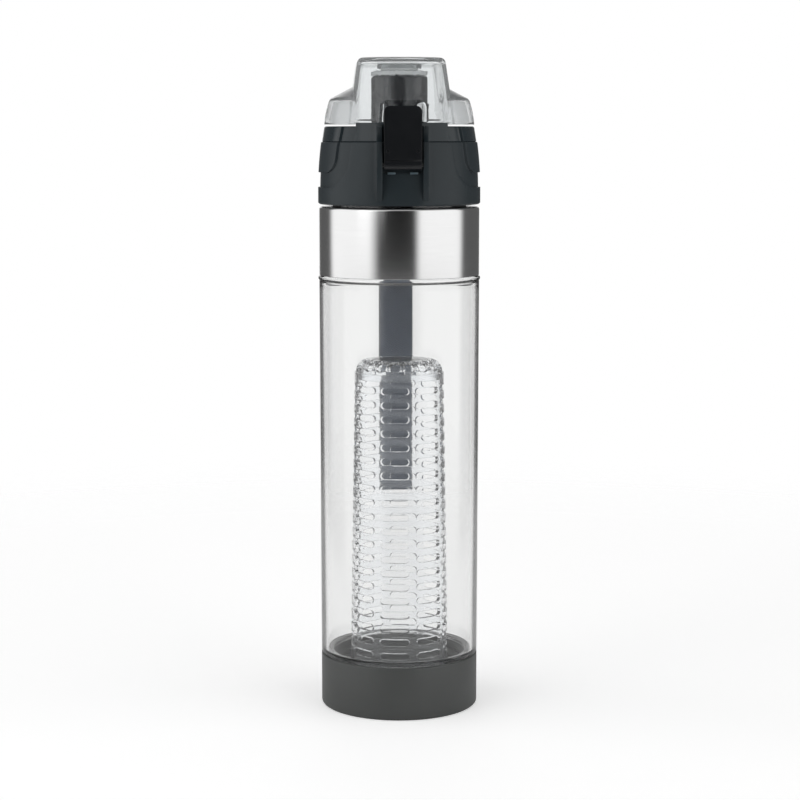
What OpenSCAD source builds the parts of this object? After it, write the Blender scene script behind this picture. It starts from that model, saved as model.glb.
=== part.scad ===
// Fruit infuser water bottle: clear bottle with a steel collar, a flip-top drinking lid with a
// front latch and a rear carry loop, and a slotted infuser that stands in the screw-on base.
// The origin is the centre of the base's underside, +Z is up and the latch faces -Y.

/* [Bottle] */
// Outer radius of the base and of the foot of the clear wall
bottle_r = 33.5; // [30:0.1:40]
// How much wider the clear wall is at its top than at its foot
bottle_flare = 0.4; // [0:0.05:0.6]
// Thickness of the clear wall
bottle_wall = 2.4; // [1.8:0.1:3]
// Height of the clear wall, from the base to the lip below the collar
bottle_wall_h = 160; // [130:1:200]
// Thickness of the step from the clear wall to the lower neck
foot_step_t = 1.6; // [1.2:0.1:2.2]
// Height of the clear lip that the collar stands on
lip_h = 2.2; // [1.5:0.1:4]
// How far the lip stands out past the clear wall
lip_out = 0.4; // [0.1:0.05:0.6]
// Radius of the shoulder between the clear wall and the upper neck
shoulder_r = 5; // [4:0.1:7]
// Height of the upper neck, above the shoulder
neck_h = 22.5; // [16:0.5:30]
// Wall of the upper neck
neck_wall = 2.4; // [1.8:0.1:3]

/* [Collar] */
// Height of the steel collar
collar_h = 28.8; // [18:0.1:45]
// Thickness of the collar's sheet
collar_t = 0.5; // [0.3:0.05:0.8]
// How far the collar stands in from the lip
collar_in = 0.5; // [0.1:0.05:0.6]
// Radius of the collar's rolled top edge
collar_roll_r = 1.2; // [0.9:0.1:2]

/* [Base] */
// Height of the screw base
base_h = 22.5; // [18:0.5:32]
// Wall of the base
base_wall = 2.2; // [1.6:0.1:3]
// Floor of the base
base_floor = 3; // [2:0.1:5]
// Radius of the base's lower edge
base_edge_r = 1.3; // [0.5:0.1:2]
// Depth of the groove in the underside
foot_groove = 0.8; // [0.4:0.1:1.2]
// Width of the ring that the base stands on
foot_ring_w = 5; // [3:0.5:8]
// Height of the ring that holds the infuser
socket_h = 7; // [4:0.5:12]
// Wall of the ring that holds the infuser
socket_wall = 1.6; // [1.2:0.1:2.2]

/* [Infuser] */
// Height of the basket's slotted tube
basket_h = 141; // [110:1:142]
// Outer radius of the basket at its open lower end
basket_low_r = 21.2; // [18:0.1:22]
// Outer radius of the basket at its top
basket_top_r = 18.9; // [16:0.1:20]
// Wall of the basket
basket_wall = 1.5; // [1.2:0.1:2]
// Turn of the basket about its axis
basket_turn = -8; // [-22:1:22]
// Columns of slots round the basket
slot_columns = 8; // [6:1:10]
// Rows of slots up the basket
slot_rows = 20; // [8:1:22]
// Height from one row of slots to the next
slot_pitch = 5.95; // [5:0.05:6]
// Height of one slot
slot_h = 2.8; // [2:0.1:3.2]
// Width of the rib between two columns, on the outside
slot_rib = 3.4; // [2.6:0.1:5]
// Height of the top of the highest slot below the tube's top
slot_top_gap = 5.4; // [4:0.1:9]
// Height of the infuser's domed top above the tube
dome_h = 5.4; // [4.5:0.1:7]
// Wall of the domed top
dome_wall = 1.3; // [1:0.1:1.8]
// How far the domed top's rim stands in from the tube
dome_in = 0.6; // [0.3:0.1:1.2]
// Windows round the shoulder of the domed top
dome_windows = 18; // [10:1:18]
// Width of one window
dome_window_w = 4.3; // [2.5:0.1:4.4]

/* [Lid] */
// Gap between the collar and the lid
lid_gap = 1; // [0.5:0.1:2]
// How far the lid's skirt stands out past the collar
skirt_out = 0.35; // [0.2:0.05:1]
// Wall of the lid's threaded core
core_wall = 1.4; // [1.2:0.1:2]
// Thickness of the core's ceiling
ceiling_t = 2.4; // [1.8:0.1:3]
// How far the outer shell draws in from its skirt to the seam
shell_draw = 1.35; // [0.8:0.05:1.6]
// Depth of the groove that shows along the seam
seam_groove = 0.3; // [0.2:0.05:0.4]
// Height of the rim between the seam and the deck
rim_h = 6.4; // [5:0.1:9]
// Thickness of the deck
deck_t = 2.4; // [1.8:0.1:3.2]
// Half the width of the raised part of the rim, at the front
front_rim_half = 18.8; // [14:0.1:22]
// Height of the raised part of the rim
front_rim_h = 1.4; // [0.8:0.1:2]
// Depth of the U-shaped band on each side of the lid
band_depth = 0.9; // [0.4:0.1:1.1]
// Half the outer width of the band
band_half = 25.7; // [23:0.1:27]
// Width of the band
band_w = 6; // [3:0.1:7]
// Height of the band's lower edge above the lid's lower edge
band_low = 7.1; // [5:0.1:9]
// Height of the band where it crosses below the side panel
band_cross_h = 6.2; // [4:0.1:7]

/* [Spout] */
// Outer radius of the spout
spout_r = 11.8; // [10:0.1:13]
// Radius of the spout's bore
spout_bore_r = 8.5; // [6:0.1:9]
// Height of the spout above its flange
spout_h = 17.9; // [12:0.1:19]
// Radius of the spout's flange
flange_r = 17.9; // [15:0.1:18.5]
// Thickness of the spout's flange
flange_t = 2.9; // [1.5:0.1:3.5]

/* [Cover] */
// Wall of the clear flip cover
cover_wall = 2; // [1.6:0.1:2.4]
// Gap between the cover's rim and the deck
rim_gap = 0.8; // [0.4:0.1:1.2]
// Height of the cover's shoulder, from its rim
cover_shoulder_h = 9.4; // [8:0.1:11]
// Radius of the bulge of the cover's side, in profile
cover_side_r = 39; // [34:1:60]
// Rise of the cover from its shoulder to the foot of its tower
cover_rise = 7; // [5.5:0.1:8]
// Half the width of the tower at the cover's rim
tower_foot_half = 21.7; // [20:0.1:23]
// Half the width of the tower's top
tower_top_half = 18.1; // [17:0.1:19]
// Height of the tower's top above the cover's rim
tower_h = 27.1; // [26.5:0.1:33]
// How far the tower's front and back lean in
tower_lean = 3.4; // [2:0.1:5]
// Radius of the tower's top edges
tower_edge_r = 2.6; // [1:0.1:3]

/* [Hinge] */
// Radius of the hinge pin
hinge_pin_r = 1; // [0.8:0.05:1.3]
// Radius of the cover's hinge knuckle
knuckle_r = 2.3; // [2:0.1:2.6]
// Half the width of the knuckle
knuckle_half = 7.2; // [5:0.1:10]
// Thickness of each hinge ear
ear_t = 2.6; // [2:0.1:4]

/* [Latch] */
// Width of the latch
latch_w = 15.3; // [12:0.1:18]
// Height of the latch above its pin
latch_h = 23.8; // [22:0.1:24.4]
// Thickness of the latch
latch_t = 3.6; // [3:0.1:4.2]
// Radius of the latch's pin
latch_pin_r = 0.9; // [0.7:0.05:1.1]
// Radius of the latch's knuckle
latch_knuckle_r = 1.9; // [1.7:0.1:2.1]
// Height of the latch's pin above the lid's lower edge
latch_pin_up = 16.6; // [15:0.1:18]
// Width of each cheek beside the latch
cheek_w = 2.2; // [1.8:0.1:3]

/* [Carry loop] */
// Width of the webbing
strap_w = 16; // [10:0.5:18]
// Thickness of the webbing
strap_t = 1.4; // [1:0.1:1.8]
// Length of the hanging loop, from its pin to its lower fold
strap_drop = 147; // [90:1:170]
// Outer radius of the lower fold
strap_fold_r = 5.5; // [4:0.1:8]
// Radius of the strap's pin
strap_pin_r = 1.25; // [1:0.05:1.5]
// Height of the strap's pin above the lid's lower edge
strap_pin_up = 18; // [15:0.5:20]

/* [Fits] */
// Gap left between a piece and the seat that it rests on
seat = 0.3; // [0.2:0.05:0.4]
// Radial room of a running pin
running = 0.05; // [0.03:0.01:0.09]
// Room for a screw thread between a neck and the wall round it
thread_room = 1; // [0.8:0.1:1.4]
// Gap at the side of a piece that swings between two walls
side_room = 0.35; // [0.3:0.05:0.6]
// Gap between two nested walls of one unit
nest = 0.1; // [0.05:0.05:0.15]

/* [Hidden] */
$fn = 64;
gap_z = 0.01;
far = 100;

// Gaskets
gasket_t = 2.2;
gasket_w = 3.5;
o_ring_r = 0.65;

// Radii of the bottle, from its foot up
base_in_r = bottle_r - base_wall;
low_neck_r = base_in_r - thread_room;
low_neck_in_r = low_neck_r - bottle_wall;
wall_top_r = bottle_r + bottle_flare;
lip_r = wall_top_r + lip_out;
collar_r = lip_r - collar_in;
recess_r = collar_r - collar_t - nest;
neck_r = recess_r - shoulder_r;
neck_in_r = neck_r - neck_wall;

// Heights of the bottle
wall_z = base_h + seat;
low_neck_z = base_floor + gasket_t + seat;
lip_z = wall_z + bottle_wall_h;
recess_z = lip_z + lip_h;
collar_top_z = recess_z + nest + collar_h;
neck_z = collar_top_z - collar_t - seat;
shoulder_z = neck_z - shoulder_r;
mouth_z = neck_z + neck_h;

// Infuser
basket_z = base_floor + seat;
basket_top_z = basket_z + basket_h;
dome_r = basket_top_r - dome_in;
dome_round_r = dome_h - seat;
dome_window_l = 1.3 * dome_round_r;
plug_h = 3;
slot_half_angle = 180 / slot_columns - asin(slot_rib / 2 / basket_low_r);

// Lid
lid_z = collar_top_z + lid_gap;
skirt_r = collar_r + skirt_out;
core_in_r = neck_r + thread_room;
core_r = core_in_r + core_wall;
shell_in_r = core_r + nest;
ceiling_z = mouth_z + seat + gasket_t;
core_top_z = ceiling_z + ceiling_t;
seam_z = core_top_z + seat;
deck_z = seam_z + rim_h;
seam_r = skirt_r - shell_draw;
rim_low_r = seam_r - 0.4;
rim_top_r = rim_low_r - 0.9;
deck_bottom_z = deck_z - deck_t;
core_skirt_z = lid_z + 0.5;
spigot_r = spout_bore_r + 1.1;
chamber_r = spigot_r + 2 * o_ring_r + nest;
chamber_wall = 2;
chamber_top_z = deck_bottom_z - seat;
band_in_r = band_half - band_w;

// Spout
flange_top_z = deck_z + flange_t;
spout_top_z = flange_top_z + spout_h;
spout_edge_r = 1;

// Cover
front_rim_in_r = rim_top_r - 0.9;
cover_z = deck_z + rim_gap;
cover_r = rim_top_r;
cover_edge_r = 3;
cover_side_from = 4;
cover_side_to = asin(sin(cover_side_from) + cover_shoulder_h / cover_side_r);
cover_side_x = cover_r - cover_side_r * cos(cover_side_from);
cover_side_z = cover_z - cover_side_r * sin(cover_side_from);
tower_top_z = cover_z + tower_h;
ceiling_under_z = tower_top_z - cover_wall;
seal_r = spout_r;
seal_nose_r = spout_bore_r - 1.5;
seal_nose_h = 1.5;
seal_stem_r = seal_r - 4;
boss_wall = 1.4;
boss_h = 2;

// Hinge of the cover
hinge_y = cover_r + 2.1;
hinge_z = deck_z + knuckle_r + nest;
ear_in_x = knuckle_half + side_room;
ear_r = hinge_y - sqrt(cover_r * cover_r - ear_in_x * ear_in_x) - seat - nest;

// Latch
latch_y = -(skirt_r + 0.85);
latch_z = lid_z + latch_pin_up;
latch_face_y = latch_y - latch_knuckle_r - nest;
latch_back_y = latch_face_y + latch_t;
latch_top_z = latch_z + latch_h;
channel_half = latch_w / 2 + 2 * side_room;
channel_floor_y = latch_y + latch_knuckle_r + side_room;
channel_step_y = -(skirt_r - 0.9);
channel_step_z = latch_z - latch_knuckle_r - 1.2;
cheek_front_y = latch_y - 1.2;
nib_h = side_room;
tab_half = latch_w / 2 + side_room + 1.5;
tab_front_y = latch_back_y - 1.1;
tab_back_y = latch_back_y + 2 * side_room + nib_h / 2;
tab_z = deck_z + front_rim_h + seat;
tab_top_z = latch_top_z + 2.5;

// Carry loop
strap_y = skirt_r + seat + strap_t + strap_pin_r + 2 * seat;
strap_z = lid_z + strap_pin_up;
strap_eye_r = strap_pin_r + seat;
strap_fold_y = skirt_r + 2 * seat + strap_fold_r;
strap_fold_z = strap_z - strap_drop + strap_fold_r;
lug_r = strap_pin_r + 1.8;
lug_in = strap_w / 2 + side_room;
lug_t = 2.6;

// Points on an arc in the plane of a profile
function arc(x, y, r, from, to, steps = 6) =
    [for (i = [0:steps]) let (a = from + (to - from) * i / steps) [x + r * cos(a), y + r * sin(a)]];

// Outer radius of the basket at a height
function basket_r(z) = basket_low_r + (basket_top_r - basket_low_r) * (z - basket_z) / basket_h;

// Outer radius of the lid's shell at a height
function shell_r(z) = skirt_r - shell_draw * pow(max(0, (z - lid_z - 6) / (seam_z - lid_z - 6)), 2);

module ring(outer, inner, z, h) {
    translate([0, 0, z])
        difference() {
            cylinder(r = outer, h = h);
            translate([0, 0, -1]) cylinder(r = inner, h = h + 2);
        }
}

// A profile in Y and Z, drawn across X from one side to the other
module across(from, to) {
    translate([from, 0, 0]) rotate([90, 0, 90]) linear_extrude(to - from) children();
}

// The same piece on the left and on the right
module both_sides() {
    children();
    mirror([1, 0, 0]) children();
}

module rod(r, half, y, z) {
    translate([-half, y, z]) rotate([0, 90, 0]) cylinder(r = r, h = 2 * half);
}

module base_cap() {
    color("#4c4e4d") {
        rotate_extrude() polygon(concat(
            [[0, 0], [bottle_r - foot_ring_w - 13, 0]],
            [[bottle_r - foot_ring_w - 12, foot_groove], [bottle_r - foot_ring_w - 1, foot_groove]],
            [[bottle_r - foot_ring_w, 0]],
            arc(bottle_r - base_edge_r, base_edge_r, base_edge_r, -90, 0),
            arc(bottle_r - 0.5, base_h - 0.5, 0.5, 0, 90, 3),
            [[base_in_r + 0.3, base_h], [base_in_r, base_h - 0.5], [base_in_r, base_floor], [0, base_floor]]));
        ring(basket_low_r + side_room + socket_wall, basket_low_r + side_room, base_floor - 1, socket_h + 1);
    }
}

module base_gasket() {
    color("#8d9294") ring(low_neck_r, low_neck_in_r, base_floor, gasket_t);
}

// One slot with round ends, cut straight through the basket's wall
module slot(width, height, reach) {
    rotate([90, 0, 90])
        linear_extrude(reach) {
            square([width - height, height], center = true);
            for (side = [-1, 1]) translate([side * (width - height) / 2, 0]) circle(d = height);
        }
}

module infuser_basket() {
    color("#cfe0ea", 0.5)
        difference() {
            rotate_extrude() polygon([
                [basket_low_r, basket_z], [basket_top_r, basket_top_z],
                [basket_top_r - basket_wall, basket_top_z], [basket_low_r - basket_wall, basket_z]]);
            for (row = [0:slot_rows - 1])
                let (z = basket_top_z - slot_top_gap - slot_h / 2 - row * slot_pitch, r = basket_r(z))
                    for (column = [0:slot_columns - 1])
                        rotate([0, 0, basket_turn - 90 + column * 360 / slot_columns])
                            translate([r - 2 * basket_wall, 0, z])
                                slot(2 * r * sin(slot_half_angle), slot_h, 3 * basket_wall);
        }
}

// The infuser's dome: a plug that fits the tube, a rounded shoulder and windows round it
module infuser_top() {
    plug_r = basket_top_r - basket_wall - nest;
    dome_z = basket_top_z + gap_z;
    color("#cfe0ea", 0.5)
        difference() {
            rotate_extrude() polygon(concat(
                [[plug_r - dome_wall, dome_z - plug_h], [plug_r, dome_z - plug_h], [plug_r, dome_z]],
                [[dome_r, dome_z]],
                arc(dome_r - dome_round_r, dome_z + dome_h - dome_round_r, dome_round_r, 0, 90, 8),
                [[0, dome_z + dome_h], [0, dome_z + dome_h - dome_wall]],
                arc(dome_r - dome_round_r, dome_z + dome_h - dome_round_r, dome_round_r - dome_wall, 90, 0, 8),
                [[plug_r - dome_wall, dome_z - 0.5]]));
            for (i = [0:dome_windows - 1])
                rotate([0, 0, basket_turn + (i + 0.5) * 360 / dome_windows])
                    translate([dome_r - dome_round_r, 0, dome_z + dome_h - dome_round_r])
                        rotate([0, -45, 0])
                            translate([dome_round_r - 2 * dome_wall, 0, 0])
                                rotate([90, 0, 0]) slot(dome_window_l, dome_window_w, 3 * dome_wall);
        }
}

module bottle_body() {
    foot_corner_r = 0.8;
    color("#dfe9ee", 0.35)
        rotate_extrude() polygon(concat(
            [[low_neck_in_r, low_neck_z], [low_neck_r, low_neck_z], [low_neck_r, wall_z]],
            arc(bottle_r - 0.6, wall_z + 0.6, 0.6, -90, 0, 3),
            [[wall_top_r, lip_z]],
            arc(lip_r - lip_h / 2, lip_z + lip_h / 2, lip_h / 2, -40, 40, 4),
            [[recess_r, recess_z], [recess_r, shoulder_z]],
            arc(neck_r, shoulder_z, shoulder_r, 0, 90, 8),
            [[neck_r, mouth_z - 0.5], [neck_r - 0.5, mouth_z], [neck_in_r + 0.5, mouth_z]],
            [[neck_in_r, mouth_z - 0.5], [neck_in_r, neck_z - neck_wall]],
            arc(neck_in_r - 0.2, shoulder_z - 0.4, recess_r - bottle_wall - neck_in_r, 80, 0, 6),
            [[recess_r - bottle_wall, recess_z], [wall_top_r - bottle_wall, lip_z - 3]],
            arc(bottle_r - bottle_wall - foot_corner_r, wall_z + foot_step_t + foot_corner_r,
                foot_corner_r, 0, -75, 4),
            [[low_neck_in_r + 0.6, wall_z + foot_step_t], [low_neck_in_r, wall_z + foot_step_t - 1]]));
}

module steel_collar() {
    z = recess_z + nest;
    roll = collar_roll_r;
    color("#c9cbcc")
        rotate_extrude() polygon(concat(
            [[collar_r - collar_t, z], [collar_r, z]],
            arc(collar_r - roll, collar_top_z - roll, roll, 0, 90, 6),
            [[neck_r + 2 * seat, collar_top_z], [neck_r + 2 * seat, collar_top_z - collar_t]],
            arc(collar_r - roll, collar_top_z - roll, roll - collar_t, 90, 0, 6)));
}

module lid_core() {
    color("#2f3639") {
        ring(core_r, core_in_r, core_skirt_z, core_top_z - core_skirt_z - 1);
        ring(core_r, spigot_r + nest, ceiling_z, ceiling_t);
        ring(chamber_r + chamber_wall, chamber_r, core_top_z - 1, chamber_top_z - core_top_z + 1);
    }
}

// The lid's outline, as far as the seam
module shell_profile(inset) {
    steps = 10;
    polygon(concat(
        [[0, lid_z], [skirt_r - inset - 0.6, lid_z], [skirt_r - inset, lid_z + 0.6]],
        [for (i = [0:steps]) let (z = lid_z + 6 + (seam_z - seam_groove - lid_z - 6) * i / steps)
            [shell_r(z) - inset, z]],
        [[seam_r - inset - seam_groove, seam_z], [0, seam_z]]));
}

// A U in Y and Z: straight sides, open at the top, round lower corners
module u_outline(half, low, corner) {
    translate([-half, low + corner]) square([2 * half, far]);
    translate([-half + corner, low]) square([2 * (half - corner), far]);
    for (side = [-1, 1]) translate([side * (half - corner), low + corner]) circle(r = corner);
}

// The band between two nested Us, right across the lid
module band() {
    low = lid_z + band_low;
    across(-far, far)
        difference() {
            u_outline(band_half, low, 10);
            u_outline(band_in_r, low + band_cross_h, 6);
        }
}

// The two cheeks that the latch swings between, as far up as a height
module cheeks(from, to) {
    foot = lid_z + 2.2;
    both_sides()
        intersection() {
            across(channel_half, channel_half + cheek_w)
                polygon([
                    [-skirt_r + 3.2, foot], [-skirt_r + 0.9, foot], [cheek_front_y + 0.4, foot + 6],
                    [cheek_front_y, latch_z - 2], [cheek_front_y, latch_z + 2.5],
                    [-rim_top_r - 0.5, deck_z - 0.6], [-rim_top_r, deck_z], [-rim_top_r + 3.2, deck_z]]);
            translate([-far, -far, from]) cube([2 * far, 2 * far, to - from]);
        }
}

// The space that the latch lies in
module latch_channel() {
    translate([-channel_half, -far, lid_z - 1]) cube([2 * channel_half, far + channel_step_y, far]);
    translate([-channel_half, -far, channel_step_z]) cube([2 * channel_half, far + channel_floor_y, far]);
}

module lid_shell() {
    color("#3a4347")
        difference() {
            union() {
                difference() {
                    rotate_extrude() shell_profile(0);
                    difference() {
                        band();
                        rotate_extrude() shell_profile(band_depth);
                    }
                    latch_channel();
                }
                cheeks(lid_z, seam_z);
                both_sides() across(lug_in, lug_in + lug_t) lug_outline();
            }
            translate([0, 0, lid_z - 1]) cylinder(r = shell_in_r, h = seam_z - lid_z + 2);
            rod(latch_pin_r + running, far, latch_y, latch_z);
            rod(strap_pin_r + running, far, strap_y, strap_z);
        }
}

module lug_outline() {
    hull() {
        translate([strap_y, strap_z]) circle(r = lug_r);
        translate([shell_in_r - 2.4, strap_z - 6.5]) square([3, 13]);
    }
}

module rim_profile(inset) {
    polygon([
        [rim_top_r - 4, seam_z + gap_z], [rim_low_r - inset - seam_groove, seam_z + gap_z],
        [rim_low_r - inset, seam_z + gap_z + seam_groove],
        [rim_top_r - inset, deck_z - 0.4], [rim_top_r - inset - 0.4, deck_z], [rim_top_r - 4, deck_z]]);
}

module hinge_ear_outline() {
    hull() {
        translate([hinge_y, hinge_z]) circle(r = ear_r);
        translate([hinge_y - ear_r, seam_z + 0.5]) square([ear_r + 1, 1]);
    }
    translate([rim_top_r - 3, seam_z + 0.5]) square([3.4, deck_z - seam_z - 0.5]);
}

module lid_deck() {
    color("#363f43")
        difference() {
            union() {
                difference() {
                    rotate_extrude() rim_profile(0);
                    difference() {
                        band();
                        rotate_extrude() rim_profile(band_depth);
                    }
                }
                translate([0, 0, deck_bottom_z]) cylinder(r = rim_top_r - 2, h = deck_t);
                ring(core_in_r, core_in_r - 2, core_top_z + gap_z, deck_z - core_top_z - 1);
                // The raised part of the rim, in front of the cover
                intersection() {
                    ring(rim_top_r, front_rim_in_r, deck_z - 1, front_rim_h + 1);
                    translate([-front_rim_half, -far, 0]) cube([2 * front_rim_half, far, far * 4]);
                }
                cheeks(seam_z + gap_z, deck_z);
                both_sides()
                    across(ear_in_x, ear_in_x + ear_t) hinge_ear_outline();
            }
            translate([0, 0, deck_bottom_z - 1]) cylinder(r = chamber_r + chamber_wall - 0.5, h = deck_t + 2);
            rod(hinge_pin_r + running, far, hinge_y, hinge_z);
        }
}

module lid_gasket() {
    color("#b9bdbf") ring(core_in_r - seat, core_in_r - seat - gasket_w, mouth_z + seat, gasket_t);
}

module spout() {
    tail_z = ceiling_z + 0.4;
    color("#1d2022")
        rotate_extrude() polygon(concat(
            [[spout_bore_r, tail_z], [spigot_r, tail_z], [spigot_r, deck_z + gap_z]],
            [[flange_r, deck_z + gap_z]],
            arc(flange_r - 0.9, flange_top_z - 0.9, 0.9, 0, 90, 4),
            [[spout_r + 0.8, flange_top_z], [spout_r, flange_top_z + 0.8]],
            arc(spout_r - spout_edge_r, spout_top_z - spout_edge_r, spout_edge_r, 0, 90, 5),
            [[spout_bore_r + 0.5, spout_top_z], [spout_bore_r, spout_top_z - 0.5]]));
}

module spout_o_ring() {
    color("#6d7376")
        translate([0, 0, (core_top_z + chamber_top_z) / 2])
            rotate_extrude() translate([spigot_r + nest / 2 + o_ring_r, 0]) circle(r = o_ring_r);
}

// The cover's round lower part, drawn in by a distance
module cover_dome(inset) {
    low = cover_z - (inset > 0 ? 1 : 0);
    reach = cover_side_r - cover_edge_r;
    top_z = cover_z + cover_shoulder_h + cover_rise - inset;
    rotate_extrude() polygon(concat(
        [[0, low], [cover_r - inset, low]],
        arc(cover_side_x, cover_side_z, cover_side_r - inset, cover_side_from, cover_side_to),
        arc(cover_side_x + reach * cos(cover_side_to), cover_side_z + reach * sin(cover_side_to),
            cover_edge_r - inset, cover_side_to + 9, 64, 5),
        [[tower_top_half - 2 * inset, top_z], [0, top_z]]));
}

// The cover's tower, which runs from front to back over the spout
module cover_tower(inset) {
    edge = tower_edge_r - inset / 2;
    low = cover_z - (inset > 0 ? 1 : 0);
    top = tower_top_z - inset;
    lean_r = cover_r - tower_lean;
    intersection() {
        rotate([90, 0, 0]) linear_extrude(2 * far, center = true)
            hull() {
                translate([-tower_foot_half + inset, low]) square([2 * (tower_foot_half - inset), 0.01]);
                for (side = [-1, 1])
                    translate([side * (tower_top_half - inset - edge), top - edge]) circle(r = edge, $fn = 32);
            }
        rotate_extrude() polygon(concat(
            [[0, low], [cover_r - inset, low]],
            arc(lean_r - inset - edge, top - edge, edge, 5, 90, 6),
            [[0, top]]));
    }
}

// The block on the cover's front that frames the latch's top
module cover_tab() {
    corner = 3.4;
    height = tab_top_z - tab_z;
    translate([0, tab_front_y, tab_z])
        rotate([90, 0, 180])
            translate([-tab_half, 0, 0])
                linear_extrude(-tab_front_y - cover_r + cover_wall + 2)
                    hull() {
                        square([2 * tab_half, 0.01]);
                        for (x = [corner, 2 * tab_half - corner])
                            translate([x, height - corner]) circle(r = corner, $fn = 32);
                    }
}

module flip_cover() {
    pocket_half = latch_w / 2 + side_room;
    color("#c8d2d6", 0.45)
        difference() {
            union() {
                difference() {
                    union() {
                        cover_dome(0);
                        cover_tower(0);
                        cover_tab();
                    }
                    cover_dome(cover_wall);
                    cover_tower(cover_wall);
                }
                // The ring under the tower's top that holds the seal
                ring(seal_stem_r + nest + boss_wall, seal_stem_r + nest, ceiling_under_z - boss_h, boss_h + 1);
                // The arm and knuckle of the hinge
                across(-knuckle_half, knuckle_half) {
                    translate([hinge_y, hinge_z]) circle(r = knuckle_r);
                    translate([cover_r - cover_wall, hinge_z - 1]) square([hinge_y - cover_r + cover_wall, 3.2]);
                }
            }
            translate([-pocket_half, -far, tab_z - 1])
                cube([2 * pocket_half, far + tab_back_y, latch_top_z + 2 * side_room - tab_z + 1]);
            // The raised rim of the deck stands in front of the cover here
            intersection() {
                ring(far, front_rim_in_r - 0.4, cover_z - 1, tab_z - cover_z + 1);
                translate([-front_rim_half - seat, -far, 0]) cube([2 * (front_rim_half + seat), far, far * 4]);
            }
            rod(hinge_pin_r + running, far, hinge_y, hinge_z);
        }
}

module cover_seal() {
    z = spout_top_z + seat;
    color("#d5dadc", 0.8)
        rotate_extrude() polygon([
            [0, z - seal_nose_h], [seal_nose_r - 0.4, z - seal_nose_h], [seal_nose_r, z - seal_nose_h + 0.4],
            [seal_nose_r, z], [seal_r, z], [seal_r, z + 1.6], [seal_stem_r, z + 2.2],
            [seal_stem_r, ceiling_under_z - gap_z], [0, ceiling_under_z - gap_z]]);
}

module hinge_pin() {
    color("#b8bcbe") rod(hinge_pin_r, ear_in_x + ear_t, hinge_y, hinge_z);
}

module latch() {
    corner = 2.5;
    color("#18191b")
        difference() {
            union() {
                rod(latch_knuckle_r, latch_w / 2, latch_y, latch_z);
                translate([0, latch_back_y, latch_z])
                    rotate([90, 0, 0])
                        linear_extrude(latch_t)
                            hull() {
                                translate([-latch_w / 2, 0]) square([latch_w, 1]);
                                for (side = [-1, 1])
                                    translate([side * (latch_w / 2 - corner), latch_h - corner])
                                        circle(r = corner, $fn = 32);
                            }
                // The rib that snaps behind the cover's tab
                rod(nib_h, latch_w / 2 - 2, latch_back_y, latch_top_z - 3);
            }
            // The step across the face above the knuckle
            translate([-far, latch_face_y - 1, latch_z + 1.6]) cube([2 * far, 1.35, 0.5]);
            rod(latch_pin_r + running, far, latch_y, latch_z);
        }
}

module latch_pin() {
    color("#b8bcbe") rod(latch_pin_r, channel_half + cheek_w, latch_y, latch_z);
}

// The loop's outline: it goes round its pin above and folds below
module strap_outline(inset) {
    hull() {
        translate([strap_y, strap_z]) circle(r = strap_eye_r + strap_t - inset, $fn = 32);
        translate([strap_fold_y, strap_fold_z]) circle(r = strap_fold_r - inset, $fn = 32);
    }
}

module carry_strap() {
    color("#454b53")
        across(-strap_w / 2, strap_w / 2)
            difference() {
                strap_outline(0);
                strap_outline(strap_t);
            }
}

module strap_pin() {
    color("#b8bcbe") rod(strap_pin_r, lug_in + lug_t, strap_y, strap_z);
}

base_cap();
base_gasket();
infuser_basket();
infuser_top();
bottle_body();
steel_collar();
lid_core();
lid_shell();
lid_deck();
lid_gasket();
spout();
spout_o_ring();
flip_cover();
cover_seal();
hinge_pin();
latch();
latch_pin();
carry_strap();
strap_pin();
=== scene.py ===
"""Looks of a fruit infuser water bottle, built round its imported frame.

Outlines are written in millimetres as (radius, height) or (radius, height, fillet) and are brought
to metres when a piece is finished. The latch faces -Y and +Z is up, as in the frame.
"""

import math

import bmesh
import bpy
from bpy.props import FloatProperty, FloatVectorProperty, IntProperty, PointerProperty
from mathutils import Matrix, Vector


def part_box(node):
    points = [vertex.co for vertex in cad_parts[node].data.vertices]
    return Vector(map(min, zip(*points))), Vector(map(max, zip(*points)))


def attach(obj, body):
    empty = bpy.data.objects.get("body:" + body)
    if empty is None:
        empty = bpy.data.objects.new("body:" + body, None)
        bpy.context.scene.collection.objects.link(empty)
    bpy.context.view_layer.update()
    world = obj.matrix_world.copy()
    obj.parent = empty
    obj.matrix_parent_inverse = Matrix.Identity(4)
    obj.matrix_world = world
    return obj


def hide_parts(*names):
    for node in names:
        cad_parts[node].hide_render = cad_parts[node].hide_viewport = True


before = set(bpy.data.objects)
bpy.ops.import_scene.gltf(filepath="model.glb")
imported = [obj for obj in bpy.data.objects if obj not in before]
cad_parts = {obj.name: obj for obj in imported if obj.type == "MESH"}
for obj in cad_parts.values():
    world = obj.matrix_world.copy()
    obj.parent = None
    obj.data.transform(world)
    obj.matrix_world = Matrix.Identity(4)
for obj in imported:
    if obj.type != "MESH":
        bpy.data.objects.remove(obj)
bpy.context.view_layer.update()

bl_info = {
    "name": "Fruit Infuser Bottle",
    "version": (1, 0, 0),
    "blender": (4, 5, 0),
    "location": "View3D > Sidebar > Infuser Bottle",
    "description": "Builds the pieces and finishes of a fruit infuser water bottle",
    "category": "Add Mesh",
}

MM = 0.001
# How close two places count as one, in millimetres: on a finished mesh, and on the way to it
WELD, NEAR = 1e-4, 1e-3


def mm(length):
    """A length in metres, as millimetres."""
    return length / MM


def box_mm(node):
    """Lowest and highest corner of a frame node, in millimetres."""
    low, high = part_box(node)
    return low / MM, high / MM


def srgb(red, green, blue):
    """A display colour from 0 to 255, as linear values."""
    channels = [value / 255 for value in (red, green, blue)]
    return tuple(c / 12.92 if c <= 0.04045 else ((c + 0.055) / 1.055) ** 2.4 for c in channels)


# Sizes and colours that a user would change


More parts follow.
